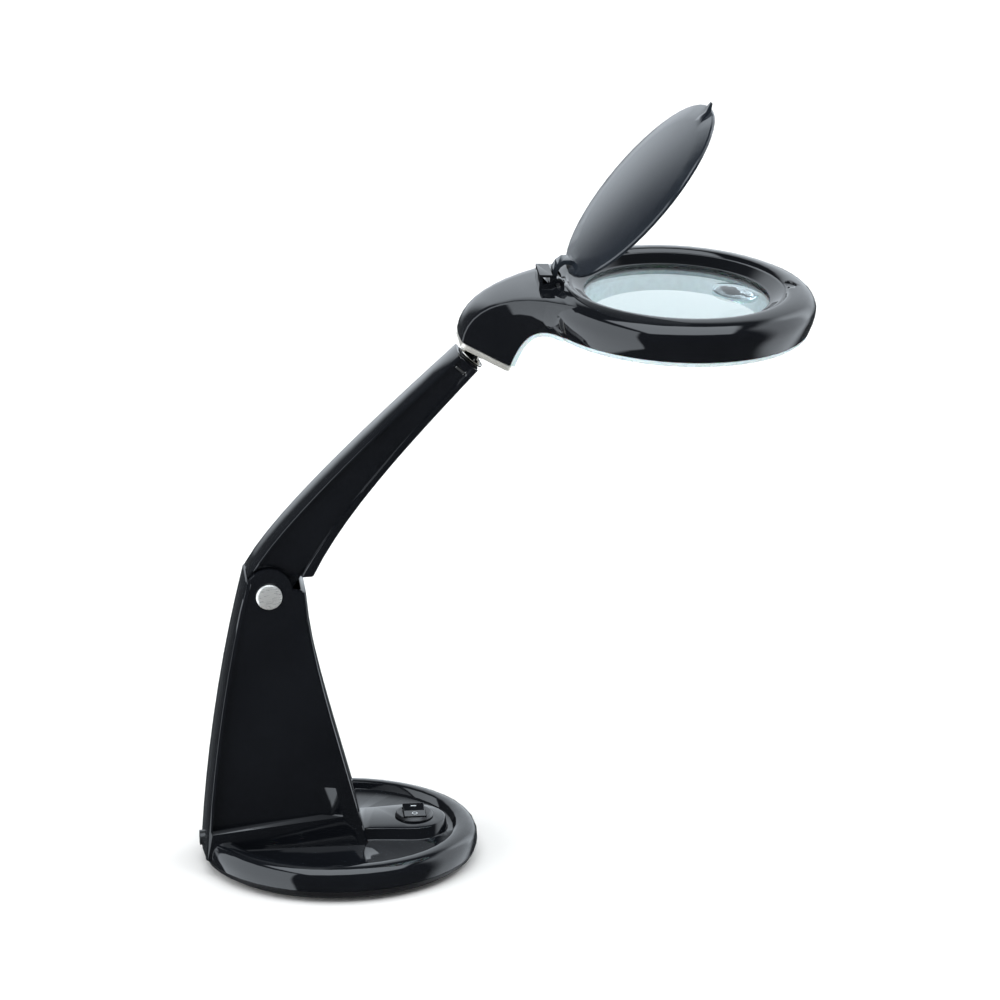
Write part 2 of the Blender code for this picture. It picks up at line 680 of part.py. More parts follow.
def arm_sizes(t):
    """Half width, panel depth and lower lip at t."""
    return (blend(ARM_HALF_LOW, ARM_HALF_HIGH, t), blend(ARM_PANEL, ARM_PANEL_HIGH, t),
            blend(ARM_LIP_LOW, ARM_LIP_HIGH, t))


def arm_section(t):
    """U-shaped section with lips round sunken side panels."""
    half, panel, lip = arm_sizes(t)
    height = arm_frame(t)[2]
    inner = half - panel - ARM_WALL
    top_lip = height - ARM_LIP_TOP
    side = [(0.0, half - 2.4), (0.9, half - 0.5), (lip, half), (lip + 0.5, half - panel)]
    side += [(top_lip - 0.5, half - panel), (top_lip, half)]
    side += [(height - 0.5, half - 0.5), (height, half - 2.0)]
    outer = [(up, -y) for up, y in side] + list(reversed(side))
    hollow = [(0.0, inner), (height - ARM_WALL, inner), (height - ARM_WALL, -inner), (0.0, -inner)]
    return [arm_point(t, up, y) for up, y in outer + hollow]


def arm_end():
    """Centre of the arm's end face, unit vector out of it and unit vector up across it."""
    low = bezier(ARM_BOTTOM, 1.0)
    high = bezier(ARM_TOP, 1.0)
    across = (high - low).normalized()
    return (low + high) / 2, Vector((across.y, -across.x)), across


def ball_centre():
    """Centre of the ball joint in space."""
    centre, out, up = arm_end()
    spot = centre + out * BALL_AHEAD - up * BALL_BELOW
    return Vector((spot.x, 0.0, spot.y))


BALL = ball_centre()
LENS = BALL + LENS_FROM_BALL


def arm_body(parent):
    """Arm channel with the knuckle that turns on the pivot pin."""
    levels = [k / ARM_LEVELS for k in range(ARM_LEVELS + 1)]
    body = loft([arm_section(t) for t in levels])
    low = Vector(bezier(ARM_BOTTOM, 0.0)) - Vector((ARM_WEB_BACK, 0.0))
    high = Vector(bezier(ARM_TOP, 0.0)) + Vector((ARM_WEB_FRONT, 0.0))
    web = [tuple(low), tuple(bezier(ARM_BOTTOM, 0.12) - Vector((ARM_WEB_BACK, 0.0)))]
    web += [tuple(bezier(ARM_TOP, 0.08) + Vector((ARM_WEB_FRONT, 0.0))), tuple(high)]
    web += arc((PIVOT.x, PIVOT.z), KNUCKLE_R, 150.0, 350.0, 16)
    fuse(body, prism(web, -KNUCKLE_HALF, KNUCKLE_HALF))
    cut(body, cylinder(PIN_R + PIN_PLAY, -20.0, 20.0, (PIVOT.x, PIVOT.z), axis="Y", steps=20))
    clear = CHEEK_ARCH_R + CHEEK_ARCH_RISE + CHEEK_CLEAR
    panel_face = CHEEK_INNER - 0.45
    for side in (-1.0, 1.0):
        low_y, high_y = sorted((side * panel_face, side * 20.0))
        cut(body, cylinder(clear, low_y, high_y, (PIVOT.x, PIVOT.z), axis="Y", steps=48))
    wire_hole = cylinder(WIRE_R + 1.0, -6.0, 40.0, steps=12)
    wire_start = Matrix.Translation((PIVOT.x + 12.0, 0.0, PIVOT.z + 3.0))
    moved(wire_hole, wire_start @ Matrix.Rotation(math.radians(26), 4, "Y"))
    cut(body, wire_hole)
    cut(body, clip_slot())
    finish(body, "arm_shell", BLACK_GLOSS, parent, PIVOT)


def arm_end_matrix():
    """Frame at the ball centre whose +Z runs out of the arm's end face."""
    out = arm_end()[1]
    return Matrix.Translation(BALL) @ Matrix.Rotation(math.atan2(out.x, out.y), 4, "Y")


END_FACE = -BALL_AHEAD
CLIP_TOP = END_FACE - END_BLOCK_T - FACE_GAP


def end_box(low_z, high_z, half_y, lift_low, lift_high):
    """Box across the arm's end, measured along the arm from the ball centre."""
    half = arm_frame(1.0)[2] / 2
    low = (-half - BALL_BELOW + lift_high, -half_y, low_z)
    high = (half - BALL_BELOW - lift_low, half_y, high_z)
    return moved(box(low, high), arm_end_matrix())


def clip_slot():
    """Slot through both side panels for the retaining clip."""
    lift = ARM_LIP_HIGH + 0.7
    return end_box(CLIP_TOP - CLIP_T - FACE_GAP, CLIP_TOP + FACE_GAP, 30.0, lift, ARM_LIP_TOP + 0.7)


def arm_fittings(parent):
    """Underside strip, end block, retaining clip and wire of the arm."""
    levels = [blend(0.13, 0.9, k / ARM_LEVELS) for k in range(ARM_LEVELS + 1)]
    sections = []
    for t in levels:
        half, panel = arm_sizes(t)[:2]
        inner = half - panel - ARM_WALL - FACE_GAP
        low, high = 0.2, 0.2 + ARM_STRIP_T
        corners = ((low, -inner), (high, -inner), (high, inner), (low, inner))
        sections.append([arm_point(t, up, y) for up, y in corners])
    strip = loft(sections)
    finish(strip, "arm_underside_strip", BLACK_MATT, parent, PIVOT)

    half, panel = arm_sizes(1.0)[:2]
    inner = half - panel - ARM_WALL - FACE_GAP - 0.1
    low_z = END_FACE - END_BLOCK_T
    block = end_box(low_z, END_FACE + 0.6, inner, 0.4, ARM_WALL + FACE_GAP + 0.2)
    bore = moved(cylinder(STEM_R + FACE_GAP, -60.0, 0.0, steps=24), arm_end_matrix())
    cut(block, bore)
    finish(block, "arm_end_block", BLACK_MATT, parent, PIVOT)

    lift = ARM_LIP_HIGH + 0.7 + FACE_GAP
    reach = half - panel - 0.1
    clip = end_box(CLIP_TOP - CLIP_T, CLIP_TOP, reach, lift, ARM_LIP_TOP + 0.7 + FACE_GAP)
    cut(clip, moved(cylinder(STEM_R + FACE_GAP, -60.0, 0.0, steps=24), arm_end_matrix()))
    finish(clip, "stem_clip", CHROME, parent, PIVOT)

    path = []
    for k in range(7):
        t = blend(0.16, 0.84, k / 6)
        height = arm_frame(t)[2]
        path.append(arm_point(t, height * 0.45, 0.0))
    finish(tube(path, WIRE_R), "arm_wire", RED_INSULATION, parent, PIVOT)


def tube(path, radius, steps=8):
    """Round wire through points in the XZ plane, as a bevelled curve turned into a mesh."""
    curve = bpy.data.curves.new("wire", "CURVE")
    curve.dimensions = "3D"
    curve.bevel_depth = radius * MM
    curve.bevel_resolution = 1
    curve.resolution_u = 2
    curve.use_fill_caps = True
    spline = curve.splines.new("POLY")
    spline.points.add(len(path) - 1)
    for point, place in zip(spline.points, path):
        point.co = (*(Vector(place) * MM), 1.0)
    guide = bpy.data.objects.new("wire", curve)
    TOOLS.objects.link(guide)
    bpy.context.view_layer.update()
    depsgraph = bpy.context.evaluated_depsgraph_get()
    mesh = bpy.data.meshes.new_from_object(guide.evaluated_get(depsgraph))
    bpy.data.objects.remove(guide, do_unlink=True)
    item = bpy.data.objects.new("wire", mesh)
    TOOLS.objects.link(item)
    bm = bmesh.new()
    bm.from_mesh(mesh)
    bmesh.ops.remove_doubles(bm, verts=bm.verts, dist=MERGE)
    bmesh.ops.recalc_face_normals(bm, faces=bm.faces)
    bm.to_mesh(mesh)
    bm.free()
    return item


# ================================================================== ball joint
def ball_stem(parent):
    """Ball, stem and stepped collar; drawn about the ball centre, stem along -Z."""
    neck = -SOCKET_R - 0.6
    collar_low = END_FACE + 0.6 + FACE_GAP
    flange_top = CLIP_TOP - CLIP_T - FACE_GAP
    profile = [(0.0, -BALL_R * 0.8), (STEM_R, -BALL_R * 0.8), (STEM_R, neck), (COLLAR_R - 1.9, neck)]
    profile += [(COLLAR_R - 1.4, neck - 0.7), (COLLAR_R - 0.2, neck - 0.7), (COLLAR_R, neck - 1.0)]
    profile += [(COLLAR_R, collar_low), (STEM_R, collar_low), (STEM_R, flange_top)]
    profile += [(STEM_FLANGE_R, flange_top), (STEM_FLANGE_R, flange_top - 2.0), (0.0, flange_top - 2.0)]
    stem = turned(profile, 20)
    fuse(stem, ball(BALL_R, (0.0, 0.0, 0.0), 18, 10))
    finish(stem, "ball_stem", CHROME, parent)


def slot_fan():
    """Space the stem sweeps through in the socket, in the head's frame about the ball centre."""
    half = STEM_R + 2 * FACE_GAP
    reach = SOCKET_R * 2.0

    def side(angle, offset, distance):
        """Point at a distance along a direction, moved sideways."""
        turn = math.radians(angle)
        along = Vector((math.cos(turn), math.sin(turn)))
        return tuple(along * distance + Vector((-along.y, along.x)) * offset)

    start = STEM_ANGLE - TILT_UP
    end = STEM_ANGLE + TILT_DOWN
    outline = [side(start, -half, 0.0), side(start, -half, reach)]
    outline += arc((0.0, 0.0), reach, start, end, 6)
    outline += [side(end, half, reach), side(end, half, 0.0)]
    return prism(outline, -half, half)


def ball_socket(parent):
    """Socket dome with its slot and mounting flange, drawn about the ball centre."""
    dome = ball(SOCKET_R, (0.0, 0.0, 0.0), 22, 12)
    flange = cylinder(SOCKET_R + 0.6, 2.2, 4.2, steps=22)
    moved(flange, Matrix.Rotation(math.radians(TRIM_ANGLE), 4, "Y"))
    fuse(dome, flange)
    cut(dome, ball(BALL_R + BALL_PLAY, (0.0, 0.0, 0.0), 18, 10), slot_fan())
    finish(dome, "ball_socket", BLACK_GLOSS, parent)


# ================================================================== head
def ring_outer():
    """Outer half of the ring's profile, from the crest to the bottom."""
    crest = (RING_CREST_R, RING_CREST_Z)
    curve = (crest, (RING_R - 5.5, RING_CREST_Z - 0.2), (RING_R - 1.5, 3.2), (RING_R - 0.4, -0.6))
    points = [tuple(bezier(curve, k / 4)) for k in range(5)]
    points += [(RING_R, -2.2), (RING_R - 0.2, -4.6), (RING_R - 1.1, -8.6), (RING_R - 2.4, RING_BOTTOM)]
    return points


def ring_blank():
    """The ring as a full disc, before its dish and lens well are cut."""
    return turned([(0.0, RING_CREST_Z)] + ring_outer() + [(0.0, RING_BOTTOM)], RING_STEPS)


def dish_cutter():
    """Space of the dish, the seat of the cover, the lens opening and the lens pocket."""
    lip_low = LENS_TOP_Z + FACE_GAP
    above = RING_CREST_Z + 5.0
    points = [(0.0, above), (DISH_R + 2.0, above), (DISH_R + 1.0, RING_CREST_Z)]
    points += [(DISH_R, RING_CREST_Z - 0.4)]
    points += [(REBATE_R, REBATE_Z), (REBATE_R - 0.6, REBATE_Z), (REBATE_R - 1.6, REBATE_Z - 0.2)]
    points += [(LENS_OPENING_R + 1.6, lip_low + 1.3), (LENS_OPENING_R, lip_low + 1.0)]
    points += [(LENS_OPENING_R, lip_low)]
    points += [(POCKET_R, lip_low), (POCKET_R, RING_BOTTOM - 5.0), (0.0, RING_BOTTOM - 5.0)]
    return turned(points, RING_STEPS)


def ring_cavity():
    """Hollow of the ring, open underneath, with a thin wall left round the lens pocket."""
    wall = POCKET_R + POCKET_WALL
    edge = RING_R - RING_WALL
    below = RING_BOTTOM - 1.0
    roof = [(wall, 0.0), (REBATE_R + 0.4, REBATE_Z - RING_WALL), (DISH_R + 2.0, RING_CREST_Z - RING_WALL)]
    roof += [(RING_R - 5.5, 2.4), (edge - 0.6, -1.6), (edge, -4.6)]
    side = [(edge - 1.2, -9.0), (edge - 2.2, below), (wall, below)]
    return turned(roof + side, RING_STEPS)


def neck_half(t):
    """Half width of the neck, flaring into the ring."""
    return NECK_HALF + (NECK_HALF_END - NECK_HALF) * max(t, 0.0)**3.2


def neck_section(low, top, half, drop=0.0):
    """Section of the neck: flat underside, upright sides, crease and domed top."""
    rise = (top - low).normalized()
    height = (top - low).length
    dome = NECK_DOME
    side = [(-drop, half - 0.8), (height * 0.30, half), (height - dome - 1.0, half)]
    side += [(height - dome, half - 0.5)]
    side += [(height - dome * 0.5, half * 0.72), (height - dome * 0.12, half * 0.36)]
    loop = [(up, -y) for up, y in side] + [(height, 0.0)] + list(reversed(side))
    return [(low.x + rise.x * up, y, low.y + rise.y * up) for up, y in loop]


def neck_solid():
    """Outer shape of the neck, run on into the ring."""
    sections = []
    for k in range(NECK_LEVELS + 1):
        t = k / NECK_LEVELS
        sections.append(neck_section(bezier(NECK_BOTTOM, t), bezier(NECK_TOP, t), neck_half(t)))
    for run, half in NECK_RUN_IN:
        low = Vector((NECK_END + run, RING_BOTTOM + 0.6))
        sections.append(neck_section(low, Vector((NECK_END + run, RING_CREST_Z - 1.0)), half))
    return loft(sections)


def neck_cavity():
    """Hollow of the neck, open underneath and at the ball end."""
    sections = []
    for k in range(NECK_LEVELS + 1):
        t = blend(-0.06, 1.0, k / NECK_LEVELS)
        low = bezier(NECK_BOTTOM, t)
        top = bezier(NECK_TOP, t)
        top -= (top - low).normalized() * NECK_WALL
        sections.append(neck_section(low, top, neck_half(t) - NECK_WALL, drop=4.0))
    return loft(sections)


def ring_place(radius, angle):
    """Point in the plane of the ring."""
    return radius * math.cos(math.radians(angle)), radius * math.sin(math.radians(angle))


def head_screw_angles():
    """Angles of the head screws round the ring, one on the nose."""
    return [360.0 * k / HEAD_SCREWS for k in range(HEAD_SCREWS)]


BOARD_TOP = BOARD_Z
BOARD_LOW = BOARD_Z - BOARD_T
FLOOR_TOP = RING_BOTTOM - FACE_GAP
COVER_BOTTOM = RING_BOTTOM - COVER_STRIP_T


def head_housing(parent):
    """Upper casing of the head: ring and neck in one moulding."""
    body = fuse(ring_blank(), neck_solid())
    cut(body, dish_cutter(), ring_cavity(), neck_cavity())
    fuse(body, hinge_bracket())
    cut_bracket(body)
    cut(body, cylinder(NOTCH_R, RING_CREST_Z - 0.9, RING_CREST_Z + 4.0, (DISH_R, 0.0), steps=24))
    for angle in head_screw_angles():
        spot = ring_place(HEAD_SCREW_R, angle)
        fuse(body, cylinder(2.6, BOARD_TOP + FACE_GAP, RING_CREST_Z - 1.0, spot, steps=16))
        roof = RING_CREST_Z - RING_WALL
        cut(body, cylinder(SCREW_R + FACE_GAP / 2, BOARD_TOP - 1.0, roof - 1.4, spot, steps=12))
    finish(body, "head_housing", BLACK_GLOSS, parent)


def lower_cover(parent):
    """White translucent cover that closes the underside of ring and neck."""
    edge = RING_R - 2.5
    inner = LENS_OPENING_R
    hold = LENS_TOP_Z - LENS_EDGE_T - FACE_GAP
    floor_low = COVER_BOTTOM + 0.4
    profile = [(inner + 1.6, hold), (inner + 1.6, FLOOR_TOP), (edge, FLOOR_TOP)]
    profile += [(edge - 0.7, COVER_BOTTOM + 1.0), (edge - 1.9, COVER_BOTTOM), (edge - 3.4, COVER_BOTTOM)]
    profile += [(edge - 3.8, floor_low), (inner + 2.4, floor_low), (inner + 1.4, COVER_BOTTOM)]
    profile += [(inner + 0.4, COVER_BOTTOM + 0.4), (inner, hold)]
    cover = turned(profile, RING_STEPS)
    sections = []
    for k in range(NECK_LEVELS + 1):
        t = k / NECK_LEVELS
        low = bezier(NECK_BOTTOM, t)
        along = bezier_direction(NECK_BOTTOM, t)
        down = Vector((along.y, -along.x))
        half = neck_half(t) - 0.9
        upper = low + down * (FACE_GAP + 0.12)
        lower = low + down * (COVER_STRIP_T - 0.12)
        corners = [(upper, -half), (lower, -half + 0.8), (lower, half - 0.8), (upper, half)]
        sections.append([(spot.x, y, spot.y) for spot, y in corners])
    fuse(cover, loft(sections))
    for angle in head_screw_angles():
        spot = ring_place(HEAD_SCREW_R, angle)
        post = cylinder(3.6, FLOOR_TOP - 0.8, BOARD_LOW - FACE_GAP, spot, steps=16)
        fuse(cover, post)
        cut(cover, cylinder(SCREW_R + FACE_GAP, COVER_BOTTOM - 1.0, 0.0, spot, steps=12))
        cut(cover, cylinder(SCREW_HEAD_R, COVER_BOTTOM - 1.0, HEAD_SCREW_SEAT, spot, steps=16))
    finish(cover, "lower_cover", WHITE, parent)


HEAD_SCREW_SEAT = BOARD_LOW - FACE_GAP - 1.6


def head_screws(parent):
    """Screws that hold lower cover and LED board to the housing."""
    for index, angle in enumerate(head_screw_angles(), 1):
        spot = ring_place(HEAD_SCREW_R, angle)
        top = HEAD_SCREW_SEAT - FACE_GAP
        screw = cylinder(SCREW_HEAD_R - FACE_GAP, top - SCREW_HEAD_T, top, spot, steps=16)
        fuse(screw, cylinder(SCREW_R, top - 0.3, BOARD_TOP + 4.6, spot, steps=10))
        finish(screw, f"head_screw_{index}", STEEL, parent)


def lens_profile():
    """Half section of the biconvex lens."""
    top = LENS_TOP_Z
    low = LENS_TOP_Z - LENS_EDGE_T
    points = []
    for k in range(6):
        radius = LENS_R * k / 5
        points.append((radius, (LENS_R**2 - radius**2) / (2 * LENS_CURVE_R)))
    upper = [(radius, top + rise) for radius, rise in points]
    lower = [(radius, low - rise) for radius, rise in reversed(points)]
    return upper + lower


def optics(parent):
    """Main lens and the small strong lens bonded on it."""
    finish(turned(lens_profile(), RING_STEPS), "lens", GLASS, parent)
    slope = math.asin(INSERT_X / LENS_CURVE_R)
    seat = LENS_TOP_Z + (LENS_R**2 - INSERT_X**2) / (2 * LENS_CURVE_R) + FACE_GAP
    dome = [(INSERT_R * k / 4, INSERT_EDGE_T + INSERT_DOME * (1 - (k / 4) ** 2)) for k in range(5)]
    insert = turned(dome + [(INSERT_R, 0.0), (0.0, 0.0)], 28)
    moved(insert, Matrix.Translation((INSERT_X, 0.0, seat)) @ Matrix.Rotation(slope, 4, "Y"))
    finish(insert, "lens_insert", GLASS, parent)


def light_source(parent):
    """Ring-shaped circuit board and its LEDs."""
    profile = [(BOARD_IN, BOARD_TOP), (BOARD_OUT, BOARD_TOP), (BOARD_OUT, BOARD_LOW), (BOARD_IN, BOARD_LOW)]
    board = turned(profile, 40)
    for angle in head_screw_angles():
        spot = ring_place(HEAD_SCREW_R, angle)
        cut(board, cylinder(SCREW_R + FACE_GAP, -20.0, 0.0, spot, steps=12))
    finish(board, "led_board", CIRCUIT, parent)
    length, width, height = LED_SIZE
    for index in range(LED_COUNT):
        angle = 360.0 * (index + 0.5) / LED_COUNT
        top = BOARD_LOW - FACE_GAP
        led = box((-length / 2, -width / 2, top - height), (length / 2, width / 2, top))
        x, y = ring_place((BOARD_IN + BOARD_OUT) / 2, angle)
        moved(led, Matrix.Translation((x, y, 0.0)) @ Matrix.Rotation(math.radians(angle), 4, "Z"))
        finish(led, f"led_{index + 1:02d}", WHITE, parent)


def trim_plate(parent):
    """Satin nickel plate that closes the neck round the ball socket."""
    low = Vector(NECK_BOTTOM[0]) + Vector((1.3, -0.7))
    along = (low - Vector(NECK_TOP[0])).normalized()
    top = Vector(NECK_TOP[0]) + along * TRIM_SHORT
    down = Vector((along.y, -along.x))
    if down.y > 0:
        down = down * -1.0
    length = (low - top).length
    sections = []
    for depth in (FACE_GAP, FACE_GAP + TRIM_T - 0.5, FACE_GAP + TRIM_T):
        shrink = 0.0 if depth < FACE_GAP + TRIM_T else 0.5
        half = NECK_HALF - shrink
        points = []
        near, far = shrink + TRIM_CORNER, length - shrink - TRIM_CORNER
        side = half - TRIM_CORNER
        corners = ((near, -side, 180.0), (far, -side, 270.0), (far, side, 0.0), (near, side, 90.0))
        for centre, y, start in corners:
            for a, b in arc((centre, y), TRIM_CORNER, start, start + 90.0, 3):
                spot = top + along * a + down * depth
                points.append((spot.x, b, spot.y))
        sections.append(points)
    plate = loft(sections)
    cut(plate, ball(SOCKET_R + 0.4, tuple(BALL_IN_HEAD), 22, 12))
    finish(plate, "trim_plate", NICKEL, parent)


# ================================================================== lens cover
def hinge_bracket():
    """Cheeks for the hinge pin and the stop box behind them, part of the housing."""
    stop = HINGE_X - STOP_GAP
    outline = [(BRACKET_BACK, BRACKET_FLOOR), (HINGE_X + CHEEK_RIM_R, BRACKET_FLOOR)]
    outline += arc((HINGE_X, HINGE_Z), CHEEK_RIM_R, 0.0, 90.0, 6)
    outline += [(stop, HINGE_Z + CHEEK_RIM_R), (stop, BRACKET_TOP), (BRACKET_BACK, BRACKET_TOP)]
    return prism(outline, -BRACKET_HALF, BRACKET_HALF)


def cut_bracket(body):
    """Slot for the cover's hinge arm, pin hole and window of the stop box."""
    centre = (HINGE_X, HINGE_Z)
    gap = COVER_ARM_HALF + FACE_GAP + 0.2
    reach = BRACKET_HALF + 1.0
    ahead = HINGE_X + CHEEK_RIM_R + 6.0
    cut(body, box((HINGE_X - STOP_GAP, -gap, HINGE_Z - 0.6), (ahead, gap, BRACKET_TOP + 5.0)))
    cut(body, cylinder(KNUCKLE_RIM_R + FACE_GAP, -gap, gap, centre, axis="Y", steps=24))
    cut(body, cylinder(HINGE_PIN_R + HINGE_PLAY, -reach, reach, centre, axis="Y", steps=20))
    middle = (BRACKET_BACK + HINGE_X - STOP_GAP) / 2 + 0.2
    high = BRACKET_TOP - 1.2
    half = WINDOW / 2
    window = box((middle - half, -reach, high - WINDOW), (middle + half, reach, high))
    cut(body, window)


def hinge_pin(parent):
    """Steel pin of the cover hinge."""
    reach = BRACKET_HALF - FACE_GAP
    pin = cylinder(HINGE_PIN_R, -reach, reach, (HINGE_X, HINGE_Z), axis="Y", steps=20)
    finish(pin, "hinge_pin", STEEL, parent)


def band(path, width):
    """Outline of a strip of constant width along a path in a plane."""
    left, right = [], []
    for k, point in enumerate(path):
        before = Vector(path[max(k - 1, 0)])
        after = Vector(path[min(k + 1, len(path) - 1)])
        along = (after - before).normalized()
        across = Vector((-along.y, along.x)) * (width / 2)
        left.append(tuple(Vector(point) + across))
        right.append(tuple(Vector(point) - across))
    return left + list(reversed(right))


def cover_disc():
    """Domed disc about the hinge pin, in its closed position."""
    low = REBATE_Z + FACE_GAP - HINGE_Z
    top = low + COVER_T
    steps = 5
    outer = [(COVER_R * k / steps, top + COVER_DOME * (1 - (k / steps) ** 2)) for k in range(steps)]
    outer += [(COVER_R - 0.6, top), (COVER_R, top - 0.6), (COVER_R, low)]
    inside = COVER_R - 2.2
    inner = []
    for k in range(steps, -1, -1):
        inner.append((inside * k / steps, low + 0.2 + COVER_DOME * (1 - (k / steps) ** 2)))
    disc = turned(outer + [(inside + 0.6, low)] + inner, COVER_STEPS)
    return moved(disc, Matrix.Translation((-HINGE_X, 0.0, 0.0))), top


def lens_cover(parent):
    """Lens cover: disc, goose-neck hinge arm with its eye, and finger tab."""
    disc, top = cover_disc()
    arm = prism(band(COVER_ARM, COVER_ARM_T), -COVER_ARM_HALF, COVER_ARM_HALF)
    eye = cylinder(KNUCKLE_RIM_R, -COVER_ARM_HALF, COVER_ARM_HALF, axis="Y", steps=24)
    edge = COVER_R - HINGE_X
    stations = ((edge - TAB_LENGTH, TAB_HALF, -1.0, 0.2),
                (edge - 2.4, TAB_HALF * 0.8, -1.2, TAB_RISE * 0.6),
                (edge + TAB_REACH, 0.5, TAB_RISE - 1.1, TAB_RISE))
    sections = []
    for x, y, low, high in stations:
        sections.append([(x, -y, top + low), (x, y, top + low), (x, y, top + high), (x, -y, top + high)])
    tab = loft(sections)
    fuse(arm, eye)
    fuse(disc, arm, tab)
    cut(disc, cylinder(HINGE_PIN_R + HINGE_PLAY, -10.0, 10.0, axis="Y", steps=20))
    finish(disc, "lens_cover", BLACK_GLOSS, parent)


def main():
    """Build every part under the empties of its joint."""
    root = empty_at("lamp_origin", None, (0.0, 0.0, 0.0))
    rocker_axis = empty_at("switch_axis", root, (SWITCH_X, 0.0, ROCKER_AXIS_Z))
    base_housing(root)
    base_plate(root)
    foot_internals(root)
    power_inlet(root)
    switch(root, rocker_axis)
    pivot_parts(root)
    arm_axis = empty_at("arm_tilt_axis", root, PIVOT)
    arm_body(arm_axis)
    arm_fittings(arm_axis)
    stem_axis = empty_at("swivel_axis", arm_axis, BALL - PIVOT, STEM_TURN)
    ball_stem(stem_axis)
    head_axis = empty_at("head_tilt_axis", arm_axis, BALL - PIVOT, HEAD_TILT)
    ball_socket(head_axis)
    lens_frame = empty_at("lens_centre", head_axis, -BALL_IN_HEAD)
    head_housing(lens_frame)
    lower_cover(lens_frame)
    head_screws(lens_frame)
    optics(lens_frame)
    light_source(lens_frame)
    trim_plate(lens_frame)
    hinge_pin(lens_frame)
    cover_axis = empty_at("cover_hinge_axis", lens_frame, (HINGE_X, 0.0, HINGE_Z), -COVER_OPEN)
    lens_cover(cover_axis)


HEAD_TURN = Matrix.Rotation(math.radians(HEAD_TILT), 3, "Y")
BALL_IN_HEAD = HEAD_TURN.inverted() @ (BALL - LENS)
STEM_TURN = math.degrees(arm_end_matrix().to_euler().y)
STEM_ANGLE = 270.0 - STEM_TURN + HEAD_TILT
MOUTH = Vector(NECK_BOTTOM[0]) - Vector(NECK_TOP[0])
TRIM_ANGLE = math.degrees(math.atan2(-MOUTH.y, MOUTH.x))

main()
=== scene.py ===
import json
import math

import bmesh
import bpy
from mathutils import Matrix, Vector


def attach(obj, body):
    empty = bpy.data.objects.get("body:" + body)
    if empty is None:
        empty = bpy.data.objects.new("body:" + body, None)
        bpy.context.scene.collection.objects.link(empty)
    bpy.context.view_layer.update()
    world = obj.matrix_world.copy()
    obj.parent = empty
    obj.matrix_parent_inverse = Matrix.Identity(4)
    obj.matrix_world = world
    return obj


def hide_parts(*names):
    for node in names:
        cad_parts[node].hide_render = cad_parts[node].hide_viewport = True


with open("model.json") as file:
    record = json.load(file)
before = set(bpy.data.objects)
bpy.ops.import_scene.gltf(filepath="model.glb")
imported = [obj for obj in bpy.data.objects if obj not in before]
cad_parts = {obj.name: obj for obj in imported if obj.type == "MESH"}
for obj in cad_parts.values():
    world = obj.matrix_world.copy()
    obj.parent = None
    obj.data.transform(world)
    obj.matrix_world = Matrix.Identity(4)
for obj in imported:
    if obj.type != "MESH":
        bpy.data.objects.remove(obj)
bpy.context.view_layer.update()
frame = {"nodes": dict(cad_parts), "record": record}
NODES = frame["nodes"]
RECORD = frame["record"]

WELD = 2e-6                         # metres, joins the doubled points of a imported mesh
SOFT_EDGE = math.radians(32.0)      # edges flatter than this are shaded smooth
ROUNDING_STEPS = 2                  # segments of a rounded edge

# Noise stays mostly between these two values, and the ramps run from one to the other
NOISE_LOW = 0.3
NOISE_HIGH = 0.7

# Noise scales, in waves per metre, and bump depths, in metres
CLOUD_SCALE = 22.0                  # slow drift of a plastic's colour
WIPE_SCALE = 60.0                   # uneven polish
ORANGE_PEEL_SCALE = 150.0           # waviness of a polished moulding
GRAIN_SCALE = 900.0                 # surface of a plain moulding
RUBBER_GRAIN_SCALE = 2600.0
BRUSH_SCALE = 260.0                 # lines in metal
PLASTIC_BUMP = 0.0002
METAL_BUMP = 0.0001
PLASTIC_IOR = 1.55
LENS_IOR = 1.03                     # almost neutral, so the view through it stays pale


# ---------------------------------------------------------------- node helpers

def new_material(name):
    """An empty Principled material, its shader and its node tree."""
    made = bpy.data.materials.new(name)
    made.use_nodes = True
    tree = made.node_tree
    shader = tree.nodes["Principled BSDF"]
    return made, tree, shader


def object_coordinates(tree, scale):
    """Object coordinates, stretched by scale on each axis."""
    where = tree.nodes.new("ShaderNodeTexCoord")
    stretch = tree.nodes.new("ShaderNodeMapping")
    stretch.inputs["Scale"].default_value = scale
    tree.links.new(where.outputs["Object"], stretch.inputs["Vector"])
    return stretch.outputs["Vector"]


def noise(tree, vector, scale, detail=4.0, rough=0.55):
    """A noise texture's value."""
    made = tree.nodes.new("ShaderNodeTexNoise")
    made.inputs["Scale"].default_value = scale
    made.inputs["Detail"].default_value = detail
    made.inputs["Roughness"].default_value = rough
    tree.links.new(vector, made.inputs["Vector"])
    return made.outputs["Fac"]


def ramp(tree, value, stops):
    """A colour ramp over value; stops are (position, colour)."""
    made = tree.nodes.new("ShaderNodeValToRGB")
    band = made.color_ramp
    while len(band.elements) < len(stops):
        band.elements.new(0.5)
    for element, (place, colour) in zip(band.elements, stops):
        element.position = place
        element.color = (*colour, 1.0)
    tree.links.new(value, made.inputs["Fac"])
    return made.outputs["Color"]


def spread(tree, value, low, high):
    """value, taken from the noise's range to low..high."""
    made = tree.nodes.new("ShaderNodeMapRange")
    made.inputs["From Min"].default_value = NOISE_LOW
    made.inputs["From Max"].default_value = NOISE_HIGH
    made.inputs["To Min"].default_value = low
    made.inputs["To Max"].default_value = high
    tree.links.new(value, made.inputs["Value"])
    return made.outputs["Result"]


def add_bump(tree, shader, height, strength, distance):
    """A bump of that height texture on the shader's normal."""
    made = tree.nodes.new("ShaderNodeBump")
    made.inputs["Strength"].default_value = strength
    made.inputs["Distance"].default_value = distance
    tree.links.new(height, made.inputs["Height"])
    tree.links.new(made.outputs["Normal"], shader.inputs["Normal"])


# ------------------------------------------------------------------- materials

